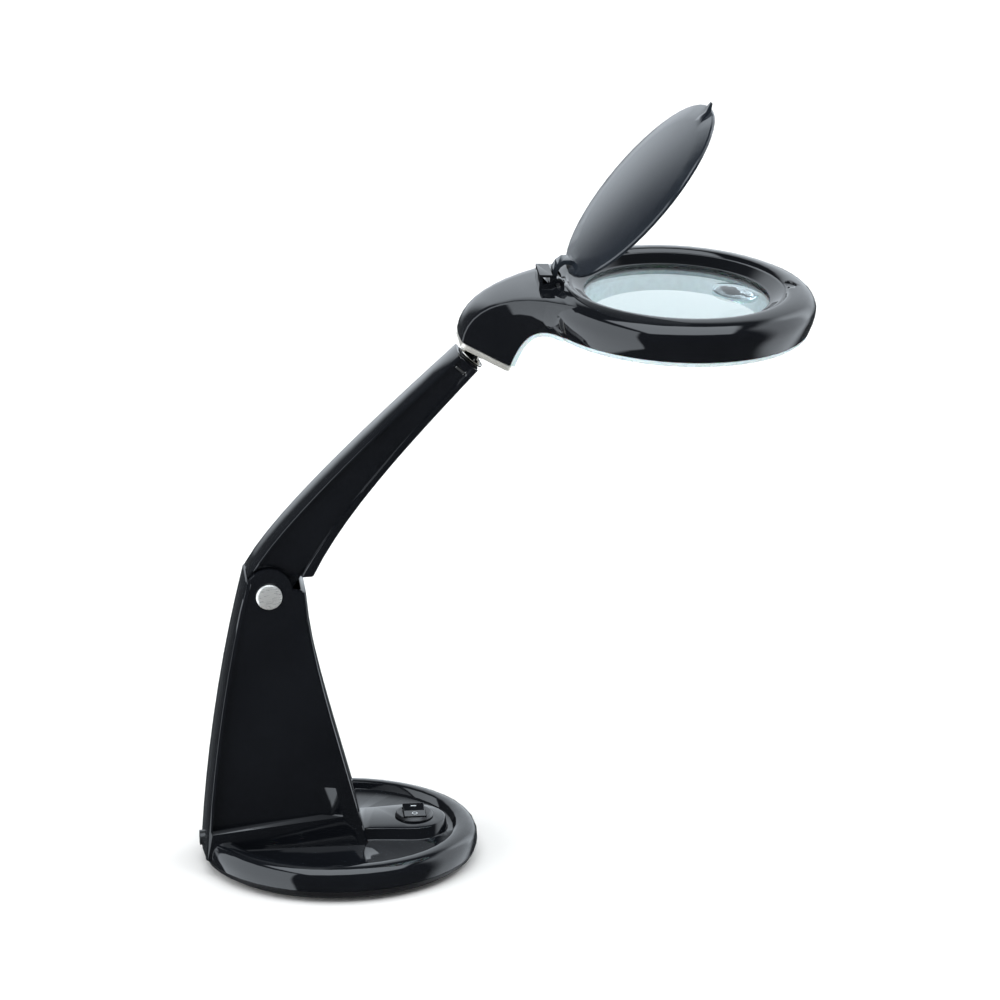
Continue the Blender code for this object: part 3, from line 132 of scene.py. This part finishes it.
def plastic(name, dark, light, rough, spread_by, bump, grain=GRAIN_SCALE):
    """Moulded plastic: slight colour drift, uneven polish and a fine surface."""
    made, tree, shader = new_material(name)
    place = object_coordinates(tree, (1.0, 1.0, 1.0))
    cloud = noise(tree, place, CLOUD_SCALE, 5.0)
    colour = ramp(tree, cloud, ((NOISE_LOW, dark), (NOISE_HIGH, light)))
    tree.links.new(colour, shader.inputs["Base Color"])
    wipe = noise(tree, place, WIPE_SCALE, 6.0, 0.6)
    polish = spread(tree, wipe, rough - spread_by, rough + spread_by)
    tree.links.new(polish, shader.inputs["Roughness"])
    shader.inputs["IOR"].default_value = PLASTIC_IOR
    add_bump(tree, shader, noise(tree, place, grain, 2.0), bump, PLASTIC_BUMP)
    return made


def metal(name, colour, shade, rough, stretch, bump, metallic=1.0):
    """Metal with fine lines along one axis of the part."""
    made, tree, shader = new_material(name)
    place = object_coordinates(tree, stretch)
    lines = noise(tree, place, BRUSH_SCALE, 5.0, 0.7)
    tone = ramp(tree, lines, ((NOISE_LOW, shade), (NOISE_HIGH, colour)))
    tree.links.new(tone, shader.inputs["Base Color"])
    polish = spread(tree, lines, rough * 0.75, rough * 1.3)
    tree.links.new(polish, shader.inputs["Roughness"])
    shader.inputs["Metallic"].default_value = metallic
    add_bump(tree, shader, lines, bump, METAL_BUMP)
    return made


def diffuser_plastic():
    """Milky translucent plastic of the lower cover."""
    made, tree, shader = new_material("milky_diffuser")
    place = object_coordinates(tree, (1.0, 1.0, 1.0))
    cloud = noise(tree, place, 30.0, 4.0)
    colour = ramp(tree, cloud, ((NOISE_LOW, (0.70, 0.83, 0.84)), (NOISE_HIGH, (0.78, 0.89, 0.90))))
    tree.links.new(colour, shader.inputs["Base Color"])
    polish = spread(tree, noise(tree, place, 300.0), 0.22, 0.34)
    tree.links.new(polish, shader.inputs["Roughness"])
    shader.inputs["Transmission Weight"].default_value = 0.05
    shader.inputs["Subsurface Weight"].default_value = 0.2
    shader.inputs["Subsurface Scale"].default_value = 0.003
    add_bump(tree, shader, noise(tree, place, 1400.0, 2.0), 0.03, PLASTIC_BUMP)
    return made


def lens_glass(name, tint, deep):
    """Clear pale blue-green lens, with the gloss of its surface in the coat."""
    made, tree, shader = new_material(name)
    place = object_coordinates(tree, (1.0, 1.0, 1.0))
    cloud = noise(tree, place, 14.0, 3.0)
    colour = ramp(tree, cloud, ((NOISE_LOW, deep), (NOISE_HIGH, tint)))
    tree.links.new(colour, shader.inputs["Base Color"])
    shader.inputs["Transmission Weight"].default_value = 1.0
    shader.inputs["IOR"].default_value = LENS_IOR
    shader.inputs["Coat Weight"].default_value = 1.0
    shader.inputs["Coat Roughness"].default_value = 0.01
    polish = spread(tree, noise(tree, place, 40.0, 5.0), 0.0, 0.012)
    tree.links.new(polish, shader.inputs["Roughness"])
    return made


def circuit_board():
    """Solder mask with copper runs showing through."""
    made, tree, shader = new_material("board_mask")
    place = object_coordinates(tree, (1.0, 1.0, 1.0))
    cells = tree.nodes.new("ShaderNodeTexVoronoi")
    cells.feature = "DISTANCE_TO_EDGE"
    cells.inputs["Scale"].default_value = 240.0
    tree.links.new(place, cells.inputs["Vector"])
    colour = ramp(tree, cells.outputs["Distance"],
                  ((0.05, (0.1, 0.34, 0.16)), (0.12, (0.03, 0.16, 0.08))))
    tree.links.new(colour, shader.inputs["Base Color"])
    polish = spread(tree, noise(tree, place, 400.0), 0.35, 0.5)
    tree.links.new(polish, shader.inputs["Roughness"])
    add_bump(tree, shader, cells.outputs["Distance"], 0.1, PLASTIC_BUMP)
    return made


def make_materials():
    """The look of each material slot of the record, and of a few nodes and prints."""
    return {
        "black_gloss": plastic("gloss_black", (0.0045, 0.005, 0.0065),
                               (0.007, 0.0078, 0.0098), 0.045, 0.02, 0.03,
                               ORANGE_PEEL_SCALE),
        "cover_satin": plastic("satin_blue_black", (0.013, 0.016, 0.021),
                               (0.018, 0.022, 0.028), 0.12, 0.02, 0.02,
                               ORANGE_PEEL_SCALE),
        "black_matt": plastic("matt_black", (0.008, 0.008, 0.009),
                              (0.014, 0.014, 0.016), 0.36, 0.08, 0.15),
        "chrome": metal("polished_chrome", (0.83, 0.82, 0.79), (0.7, 0.69, 0.66),
                        0.09, (1.0, 1.0, 1.0), 0.02),
        "satin_nickel": metal("satin_nickel", (0.82, 0.79, 0.72), (0.68, 0.65, 0.58),
                              0.36, (1.0, 8.0, 1.0), 0.08, 0.5),
        "cap_satin": metal("satin_steel_cap", (0.86, 0.85, 0.82), (0.74, 0.73, 0.7),
                           0.3, (1.0, 1.0, 9.0), 0.06, 0.6),
        "steel": metal("zinc_steel", (0.5, 0.5, 0.51), (0.36, 0.36, 0.38),
                       0.32, (1.0, 1.0, 6.0), 0.06),
        "white_diffuser": diffuser_plastic(),
        "led_white": plastic("led_resin", (0.75, 0.7, 0.4), (0.9, 0.85, 0.55),
                             0.25, 0.05, 0.05),
        "circuit_board": circuit_board(),
        "lens_glass": lens_glass("lens_glass_body", (0.57, 0.66, 0.68), (0.53, 0.63, 0.645)),
        "rubber": plastic("grey_rubber", (0.01, 0.01, 0.01), (0.02, 0.02, 0.02),
                          0.75, 0.08, 0.4, RUBBER_GRAIN_SCALE),
        "wire_red": plastic("red_insulation", (0.3, 0.012, 0.01), (0.38, 0.02, 0.016),
                            0.4, 0.05, 0.1),
        "print_white": plastic("printed_white", (0.72, 0.74, 0.74), (0.8, 0.82, 0.82),
                               0.4, 0.05, 0.05),
    }


# ---------------------------------------------------------------------- meshes

def link(name, mesh):
    """A new object of that mesh in the scene."""
    made = bpy.data.objects.new(name, mesh)
    bpy.context.scene.collection.objects.link(made)
    return made


def welded_copy(node, name):
    """The node's surface as one welded, smoothly shaded mesh."""
    source = bmesh.new()
    source.from_mesh(NODES[node].data)
    bmesh.ops.remove_doubles(source, verts=source.verts, dist=WELD)
    mesh = bpy.data.meshes.new(name)
    source.to_mesh(mesh)
    source.free()
    mesh.materials.clear()
    for polygon in mesh.polygons:
        polygon.use_smooth = True
    mesh.set_sharp_from_angle(angle=SOFT_EDGE)
    return link(name, mesh)


def refined(node, material, edge=0.0):
    """Stands for a node: welded, smooth, with its sharp edges softly rounded."""
    made = welded_copy(node, node + "_shell")
    made.data.materials.append(material)
    if edge:
        rounding = made.modifiers.new("rounding", "BEVEL")
        rounding.limit_method = "ANGLE"
        rounding.angle_limit = SOFT_EDGE
        rounding.width = edge
        rounding.segments = ROUNDING_STEPS
        rounding.harden_normals = True
    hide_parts(node)
    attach(made, body_of[node])
    return made


def node_bodies():
    """The body that each CAD node rides on."""
    found = {}
    for body, members in RECORD["behaviour"]["bodies"].items():
        for member in members:
            found[member] = body
    return found


# --------------------------------------------------------------- small details

ROCKER_TILT = math.radians(9.0)      # the rocker rests on its off side
ROCKER_AXIS = Vector((0.036, 0.0, 0.0198))    # metres, as all lengths below
PRINT_T = 0.00025                    # how far a print stands proud
MARK_OFF_Y = -0.0032                 # the ring mark, on the near half of the rocker
MARK_ON_Y = 0.0034                   # the bar mark, on the far half
MARK_RING_R = 0.00115
MARK_RING_LINE = 0.0003
MARK_BAR = (0.0026, 0.0006)          # length and width of the bar
ROCKER_RISE = 0.0019                 # rocker's hollow top, over its axis
ROCKER_SLOPE = 0.0006 / 0.0059       # its rise towards both ends


def rocker_matrix(local_y):
    """Frame on the rocker's top face at that distance from its axis."""
    height = ROCKER_RISE + abs(local_y) * ROCKER_SLOPE
    slope = math.copysign(math.atan(ROCKER_SLOPE), local_y)
    lift = Matrix.Translation((0.0, local_y, height)) @ Matrix.Rotation(slope, 4, "X")
    return Matrix.Translation(ROCKER_AXIS) @ Matrix.Rotation(ROCKER_TILT, 4, "X") @ lift


def raised_outline(name, outer, inner, place):
    """A thin raised print: the area between two outlines, or inside one."""
    made = bmesh.new()
    count = len(outer)
    rows = [(outer, 0.0), (outer, PRINT_T)]
    if inner:
        rows += [(inner, PRINT_T), (inner, 0.0)]
    rings = [[made.verts.new((x, y, z)) for x, y in outline] for outline, z in rows]
    pairs = list(zip(rings, rings[1:]))
    if inner:
        pairs.append((rings[-1], rings[0]))
    for low, high in pairs:
        for k in range(count):
            j = (k + 1) % count
            made.faces.new((low[k], low[j], high[j], high[k]))
    if not inner:
        made.faces.new(list(reversed(rings[0])))
        made.faces.new(rings[-1])
    bmesh.ops.recalc_face_normals(made, faces=made.faces)
    bmesh.ops.transform(made, matrix=place, verts=made.verts)
    mesh = bpy.data.meshes.new(name)
    made.to_mesh(mesh)
    made.free()
    return link(name, mesh)


def circle(radius, steps=40):
    """Points of a circle."""
    turn = 2.0 * math.pi / steps
    return [(radius * math.cos(turn * k), radius * math.sin(turn * k)) for k in range(steps)]


def make_switch_marks():
    """The off ring and the on bar, printed on the rocker."""
    ring = raised_outline("mark_off", circle(MARK_RING_R + MARK_RING_LINE / 2),
                          circle(MARK_RING_R - MARK_RING_LINE / 2), rocker_matrix(MARK_OFF_Y))
    half_x, half_y = MARK_BAR[0] / 2, MARK_BAR[1] / 2
    corners = [(-half_x, -half_y), (half_x, -half_y), (half_x, half_y), (-half_x, half_y)]
    bar = raised_outline("mark_on", corners, None, rocker_matrix(MARK_ON_Y))
    for mark in (ring, bar):
        mark.data.materials.append(LOOKS["print_white"])
        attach(mark, "switch")


# ----------------------------------------------------------------------- stage

CAMERA_AZIMUTH = math.radians(-6.0)
CAMERA_ELEVATION = math.radians(20.5)
CAMERA_DISTANCE = 2.8
CAMERA_TARGET = Vector((0.0823, 0.0455, 0.1620))
CAMERA_LENS = 210.0


def make_camera():
    """The camera, at the angle and framing of the picture to match."""
    back = Vector((
        math.sin(CAMERA_AZIMUTH) * math.cos(CAMERA_ELEVATION),
        -math.cos(CAMERA_AZIMUTH) * math.cos(CAMERA_ELEVATION),
        math.sin(CAMERA_ELEVATION),
    ))
    data = bpy.data.cameras.new("camera")
    data.lens = CAMERA_LENS
    data.sensor_width = 36.0
    made = bpy.data.objects.new("camera", data)
    bpy.context.scene.collection.objects.link(made)
    made.location = CAMERA_TARGET + back * CAMERA_DISTANCE
    made.rotation_euler = (-back).to_track_quat("-Z", "Y").to_euler()
    bpy.context.scene.camera = made


FLOOR_HALF = 30.0
FLOOR_DARK = (0.98, 0.92, 0.86)      # takes the blue of the light out again
FLOOR_LIGHT = (0.99, 0.93, 0.87)


def make_floor():
    """A plain pale floor."""
    mesh = bpy.data.meshes.new("floor")
    corners = [(-1, -1), (1, -1), (1, 1), (-1, 1)]
    mesh.from_pydata([(x * FLOOR_HALF, y * FLOOR_HALF, 0.0) for x, y in corners], [],
                     [(0, 1, 2, 3)])
    made = link("floor", mesh)
    look, tree, shader = new_material("floor_paper")
    place = object_coordinates(tree, (1.0, 1.0, 1.0))
    tone = ramp(tree, noise(tree, place, 3.0), ((NOISE_LOW, FLOOR_DARK), (NOISE_HIGH, FLOOR_LIGHT)))
    tree.links.new(tone, shader.inputs["Base Color"])
    shader.inputs["Roughness"].default_value = 0.9
    shader.inputs["Specular IOR Level"].default_value = 0.0
    mesh.materials.append(look)
    made.visible_glossy = False


LEAST_FACING = 0.02                  # directions further round than this are behind a box


def soft_box(tree, direction, aim, half_width, half_height, edge):
    """1 inside a rectangular light seen in the direction aim, 0 outside, soft at its edges."""
    ahead = Vector(aim).normalized()
    side = ahead.cross(Vector((0.0, 0.0, 1.0)))
    side = side.normalized() if side.length > 1e-3 else Vector((1.0, 0.0, 0.0))
    up = side.cross(ahead).normalized()
    nodes, links = tree.nodes, tree.links

    def dot(axis):
        made = nodes.new("ShaderNodeVectorMath")
        made.operation = "DOT_PRODUCT"
        made.inputs[1].default_value = axis
        links.new(direction, made.inputs[0])
        return made.outputs["Value"]

    def math_node(operation, first, second):
        made = nodes.new("ShaderNodeMath")
        made.operation = operation
        for socket, value in zip(made.inputs, (first, second)):
            if isinstance(value, float):
                socket.default_value = value
            elif value is not None:
                links.new(value, socket)
        return made.outputs["Value"]

    def inside(axis, half):
        slope = math_node("DIVIDE", dot(axis), math_node("MAXIMUM", dot(ahead), LEAST_FACING))
        away = math_node("ABSOLUTE", slope, None)
        made = nodes.new("ShaderNodeMapRange")
        made.interpolation_type = "SMOOTHSTEP"
        made.inputs["From Min"].default_value = half + edge
        made.inputs["From Max"].default_value = half - edge
        made.inputs["To Min"].default_value = 0.0
        made.inputs["To Max"].default_value = 1.0
        links.new(away, made.inputs["Value"])
        return made.outputs["Result"]

    both = math_node("MULTIPLY", inside(side, half_width), inside(up, half_height))
    front = math_node("GREATER_THAN", dot(ahead), LEAST_FACING)
    return math_node("MULTIPLY", both, front)


# aim, half width, half height, edge (tangents), strength
SOFT_BOXES = (
    ((0.36, 1.0, 0.36), 0.8, 0.52, 0.16, 1.25),
    ((0.05, -0.25, 1.0), 0.62, 0.5, 0.06, 3.4),
    ((-1.0, -0.24, 0.0), 0.8, 1.1, 0.05, 2.3),
    ((1.0, 0.25, 0.0), 0.5, 1.1, 0.25, 1.8),
)
AMBIENT = 0.07                       # strength of the room outside the soft boxes
LIGHT_TINT = (0.86, 0.93, 1.0)


def make_light():
    """Plain soft studio light: a dim room with four soft boxes."""
    world = bpy.data.worlds.new("studio")
    world.use_nodes = True
    tree = world.node_tree
    direction = tree.nodes.new("ShaderNodeTexCoord").outputs["Generated"]
    total = None
    for aim, half_width, half_height, edge, strength in SOFT_BOXES:
        shape = soft_box(tree, direction, aim, half_width, half_height, edge)
        scaled = tree.nodes.new("ShaderNodeMath")
        scaled.operation = "MULTIPLY_ADD"
        scaled.inputs[1].default_value = strength
        scaled.inputs[2].default_value = AMBIENT
        tree.links.new(shape, scaled.inputs[0])
        if total is not None:
            tree.links.new(total, scaled.inputs[2])
        total = scaled.outputs["Value"]
    back = tree.nodes["Background"]
    back.inputs["Color"].default_value = (*LIGHT_TINT, 1.0)
    tree.links.new(total, back.inputs["Strength"])
    bpy.context.scene.world = world
    bpy.context.scene.view_settings.view_transform = "Standard"


# ------------------------------------------------------------------------ main

body_of = node_bodies()
LOOKS = make_materials()


def slot_of(node):
    """The record's slot on a CAD node, from the name of its packed material."""
    return NODES[node].material_slots[0].material.name.split(".")[0]


# nodes whose finish differs a little from the rest of their slot
SPECIAL_LOOKS = {"lens_cover": "cover_satin", "pivot_cap_near": "cap_satin",
                 "pivot_cap_far": "cap_satin"}


# nodes that show, and how far their sharp edges are rounded, in metres
EDGE_ROUNDING = {
    "base_housing": 0.0004, "arm_shell": 0.0004, "head_housing": 0.0003,
    "ball_socket": 0.0003, "trim_plate": 0.0004, "ball_stem": 0.0,
    "pivot_cap_near": 0.00025, "pivot_cap_far": 0.00025, "base_plate": 0.0005,
    "switch_body": 0.00025, "switch_rocker": 0.0004, "stem_clip": 0.0003,
    "lower_cover": 0.0003, "lens": 0.0, "lens_insert": 0.0, "lens_cover": 0.0003,
    "power_inlet": 0.0002, "arm_end_block": 0.0003, "arm_underside_strip": 0.0002,
}


def dress_nodes():
    """Every CAD node gets its finish, and the ones that show get rounded edges."""
    for node in sorted(NODES):
        slot = slot_of(node)
        look = LOOKS[SPECIAL_LOOKS.get(node, slot)]
        if node in EDGE_ROUNDING:
            refined(node, look, EDGE_ROUNDING[node])
        else:
            NODES[node].material_slots[0].material = look


dress_nodes()
make_switch_marks()
make_camera()
make_floor()
make_light()
